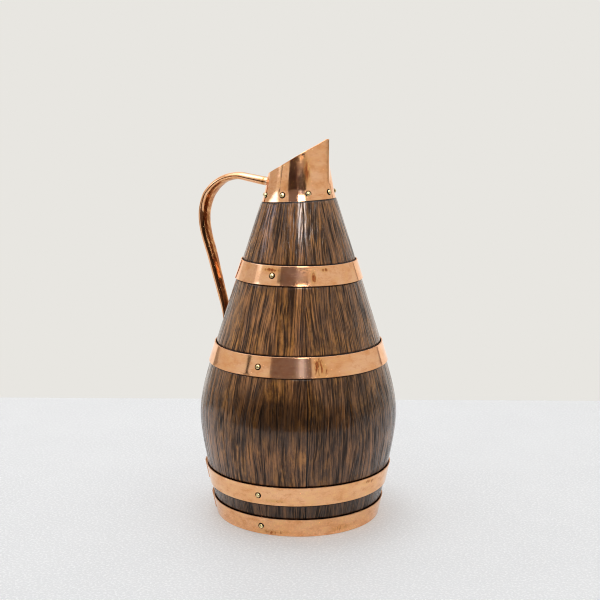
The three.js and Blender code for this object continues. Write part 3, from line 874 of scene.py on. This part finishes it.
FLOOR_BACK, FLOOR_FRONT, FLOOR_SIDE = 0.434, 2.2, 2.4
FLOOR_GLOW = 0.25  # the paper's own share of light, which keeps the foot's shadow pale
PAPER_DARK, PAPER_PALE = (0.45, 0.461, 0.484), (0.475, 0.486, 0.509)
PAPER_FIBRE = (0.66, 0.67, 0.69)
BACKDROP = (0.807, 0.791, 0.753)
LAMP_SIZE, LAMP_WATTS = 0.8, 8.0
LAMP_BACK, LAMP_LEFT, LAMP_HEIGHT = 0.2, 0.15, 1.7
PIXEL_FILTER = 1.1  # as sharp as the photograph


def floor_material():
    m = Shader("pale_paper")
    place = m.add("ShaderNodeTexCoord").outputs["Object"]
    tone = m.noise(m.stretch(place, (9, 9, 9)), 6, 0.7)
    fibre = m.noise(m.stretch(place, (420, 420, 420)), 3, 0.6)
    color = m.mix(m.step(tone, 0.3, 0.7), PAPER_DARK, PAPER_PALE)
    color = m.mix(m.step(fibre, 0.48, 0.64, 0.0, 0.6), color, PAPER_FIBRE)
    m.surface.inputs["Emission Color"].default_value = (1, 1, 1, 1)
    m.surface.inputs["Emission Strength"].default_value = FLOOR_GLOW
    return m.finish(color, 0.6, m.bump(fibre, 0.35, 0.0003))


def floor():
    shape = bmesh.new()
    corners = [
        (-FLOOR_BACK, -FLOOR_SIDE), (-FLOOR_BACK, FLOOR_SIDE),
        (FLOOR_FRONT, FLOOR_SIDE), (FLOOR_FRONT, -FLOOR_SIDE),
    ]
    shape.faces.new([shape.verts.new(STAND + TO_CAMERA * f + TO_RIGHT * s) for f, s in corners])
    bmesh.ops.subdivide_edges(shape, edges=shape.edges[:], cuts=6, use_grid_fill=True)
    bmesh.ops.recalc_face_normals(shape, faces=shape.faces)
    mesh = bpy.data.meshes.new("floor")
    shape.to_mesh(mesh)
    shape.free()
    if mesh.polygons[0].normal.z < 0:
        mesh.flip_normals()
    mesh.materials.append(floor_material())
    thing = bpy.data.objects.new("floor", mesh)
    bpy.context.scene.collection.objects.link(thing)


def glow_material(name, color, strength):
    material = bpy.data.materials.new(name)
    material.use_nodes = True
    tree = material.node_tree
    tree.nodes.clear()
    glow = tree.nodes.new("ShaderNodeEmission")
    glow.inputs["Color"].default_value = (*color, 1)
    glow.inputs["Strength"].default_value = strength
    output = tree.nodes.new("ShaderNodeOutputMaterial")
    tree.links.new(glow.outputs[0], output.inputs["Surface"])
    return material


CARD_EYE = 0.2  # height from which the far cards' elevations are seen
COLLAR_EYE = 0.345
SHOULDER_EYE = 0.169
CARD_COLUMNS = 24

# What the polish reflects of the room: pale walls at both sides, a pale ceiling, a dark room behind the
# camera with a window in it, a dark table's end, dark stands, and a bright sheet at the left. The cards
# named lip and hoop stand where only that copper mirrors them. Each card has its name, its lower and
# upper edge, its distance, colour and strength, and the height that its elevations are seen from.
# An edge is a left and a right direction from the camera's side and an elevation, in degrees.
CARDS = [
    ("side_wall_left", (-138.5, -30, 1), (-138.5, -30, 62), 9.6, (0.72, 0.69, 0.63), 1.0, CARD_EYE),
    ("side_wall_right", (14, 130, 1), (14, 130, 62), 9.6, (0.72, 0.69, 0.63), 1.0, CARD_EYE),
    ("side_low_left", (-138.5, -30, -12), (-138.5, -30, 1), 9.6, (0.35, 0.31, 0.26), 1.0, CARD_EYE),
    ("side_low_right", (14, 130, -12), (14, 130, 1), 9.6, (0.45, 0.42, 0.37), 1.0, CARD_EYE),
    ("far_left", (-178, -138.5, -12), (-178, -138.5, 62), 9.6, (1.0, 0.96, 0.90), 1.0, CARD_EYE),
    ("far_right", (133, 178, -12), (133, 178, 62), 9.6, (1.0, 0.96, 0.90), 1.0, CARD_EYE),
    ("far_edge", (130, 133, -12), (130, 133, 62), 9.6, (0.25, 0.19, 0.17), 1.0, CARD_EYE),
    ("room_upper", (-37, 17, 17), (-36, 17, 44), 9.0, (0.215, 0.18, 0.185), 1.0, CARD_EYE),
    ("room_gap", (-39, 20, 14.5), (-37, 18, 17), 9.0, (0.08, 0.06, 0.055), 1.0, CARD_EYE),
    ("room_middle", (-60, 30, 8), (-42, 24, 14.5), 8.6, (0.04, 0.03, 0.026), 1.0, CARD_EYE),
    ("room_low", (-78, 40, -12), (-66, 31, 9), 8.4, (0.018, 0.014, 0.011), 1.0, CARD_EYE),
    ("table_end", (-78, 60, -15.6), (-78, 60, 3.0), 0.7, (0.085, 0.052, 0.036), 1.0, CARD_EYE),
    ("streak_soft", (-6, 13, 18.5), (-6, 13, 24.0), 8.3, (0.25, 0.23, 0.26), 1.0, CARD_EYE),
    ("streak_outer", (-3, 10.5, 18.5), (-4, 10.5, 24.0), 8.2, (0.33, 0.32, 0.38), 1.0, CARD_EYE),
    ("streak_inner", (-1, 8.5, 18.5), (-2, 9, 24.0), 8.1, (0.46, 0.48, 0.60), 1.0, CARD_EYE),
    ("streak", (1, 6.5, 18.5), (0, 7, 24.0), 8.0, (0.66, 0.72, 0.92), 1.0, CARD_EYE),
    ("streak_high", (-5, 8, 24.0), (-5, 9, 31), 8.0, (0.30, 0.27, 0.31), 1.0, CARD_EYE),
    ("window", (-2, 15, 31.5), (-2, 15, 42), 8.0, (1.0, 0.99, 0.97), 18.0, CARD_EYE),
    ("glow_soft", (-107, -80, 14), (-107, -80, 25), 8.2, (0.92, 0.90, 0.90), 1.0, CARD_EYE),
    ("lip_room", (-38.5, 24, 14.4), (-41, 22, 18.4), 0.9, (0.045, 0.03, 0.027), 1.0, COLLAR_EYE),
    ("lip_streak", (-10, -6, 14.6), (-10, -6, 18.4), 0.88, (0.17, 0.10, 0.10), 1.0, COLLAR_EYE),
    ("lip_stand", (-70.6, -69.8, 13.6), (-71.6, -69, 14.6), 8.0, (0.03, 0.027, 0.025), 1.0, CARD_EYE),
    ("lip_stand_top", (-71.6, -69, 14.6), (-77, -69.5, 16.4), 8.0, (0.03, 0.027, 0.025), 1.0, CARD_EYE),
    ("lip_side", (-138.5, -87, 3.5), (-138.5, -87, 14.5), 0.96, (0.60, 0.55, 0.49), 1.0, COLLAR_EYE),
    ("lip_glow_a", (-112, -78, 12.6), (-112, -64, 24), 0.94, (1.1, 1.2, 1.35), 1.0, COLLAR_EYE),
    ("lip_glow_b", (-107, -78, 13.4), (-107, -67, 24), 0.93, (1.55, 1.8, 2.3), 1.0, COLLAR_EYE),
    ("lip_glow_c", (-102, -79, 14.2), (-102, -71, 24), 0.92, (2.0, 2.45, 3.1), 1.0, COLLAR_EYE),
    ("lip_glow_d", (-97, -80, 15.0), (-97, -76, 24), 0.91, (2.6, 3.2, 4.2), 1.0, COLLAR_EYE),
    ("lip_window", (-4.5, 17.5, 22.3), (-4.5, 17.5, 44), 0.6, (1.0, 1.0, 1.0), 15.0, COLLAR_EYE),
    ("ceiling", (-180, 180, 45), (-180, 180, 88), 3.0, (1.9, 2.0, 2.2), 1.0, CARD_EYE),
    ("hoop_stand", (-71.5, -68.2, 8), (-64.2, -62, 17), 0.9, (0.03, 0.027, 0.025), 1.0, SHOULDER_EYE),
]


def card(name, low, high, distance, color, strength, eye):
    """A curved card round the jug that only reflections see."""
    points = []
    for left, right, up in (low, high):
        for k in range(CARD_COLUMNS + 1):
            a = math.radians(lerp(left, right, k / CARD_COLUMNS))
            level = TO_CAMERA * math.cos(a) + TO_RIGHT * math.sin(a)
            z = eye + distance * math.tan(math.radians(up))
            points.append(STAND + level * distance + Vector((0, 0, z)))
    mesh = bpy.data.meshes.new(name)
    mesh.from_pydata(points, [], grid_faces(2, CARD_COLUMNS + 1, False, False))
    material = glow_material(name, color, strength)
    material.cycles.emission_sampling = "NONE"
    mesh.materials.append(material)
    thing = bpy.data.objects.new(name, mesh)
    bpy.context.scene.collection.objects.link(thing)
    thing.visible_camera = False
    thing.visible_diffuse = False
    thing.visible_transmission = False
    thing.visible_volume_scatter = False
    thing.visible_shadow = False


floor()
for row in CARDS:
    card(*row)

world = bpy.data.worlds.new("world")
world.use_nodes = True
background = world.node_tree.nodes["Background"]
background.inputs["Color"].default_value = (*BACKDROP, 1)
background.inputs["Strength"].default_value = 1.0
bpy.context.scene.world = world

lamp_data = bpy.data.lights.new("softbox", "AREA")
lamp_data.shape = "SQUARE"
lamp_data.size = LAMP_SIZE
lamp_data.energy = LAMP_WATTS
lamp = bpy.data.objects.new("softbox", lamp_data)
lamp.location = STAND - TO_CAMERA * LAMP_BACK - TO_RIGHT * LAMP_LEFT + Vector((0, 0, LAMP_HEIGHT))
bpy.context.scene.collection.objects.link(lamp)

bpy.context.scene.view_settings.view_transform = "Standard"
bpy.context.scene.cycles.filter_width = PIXEL_FILTER
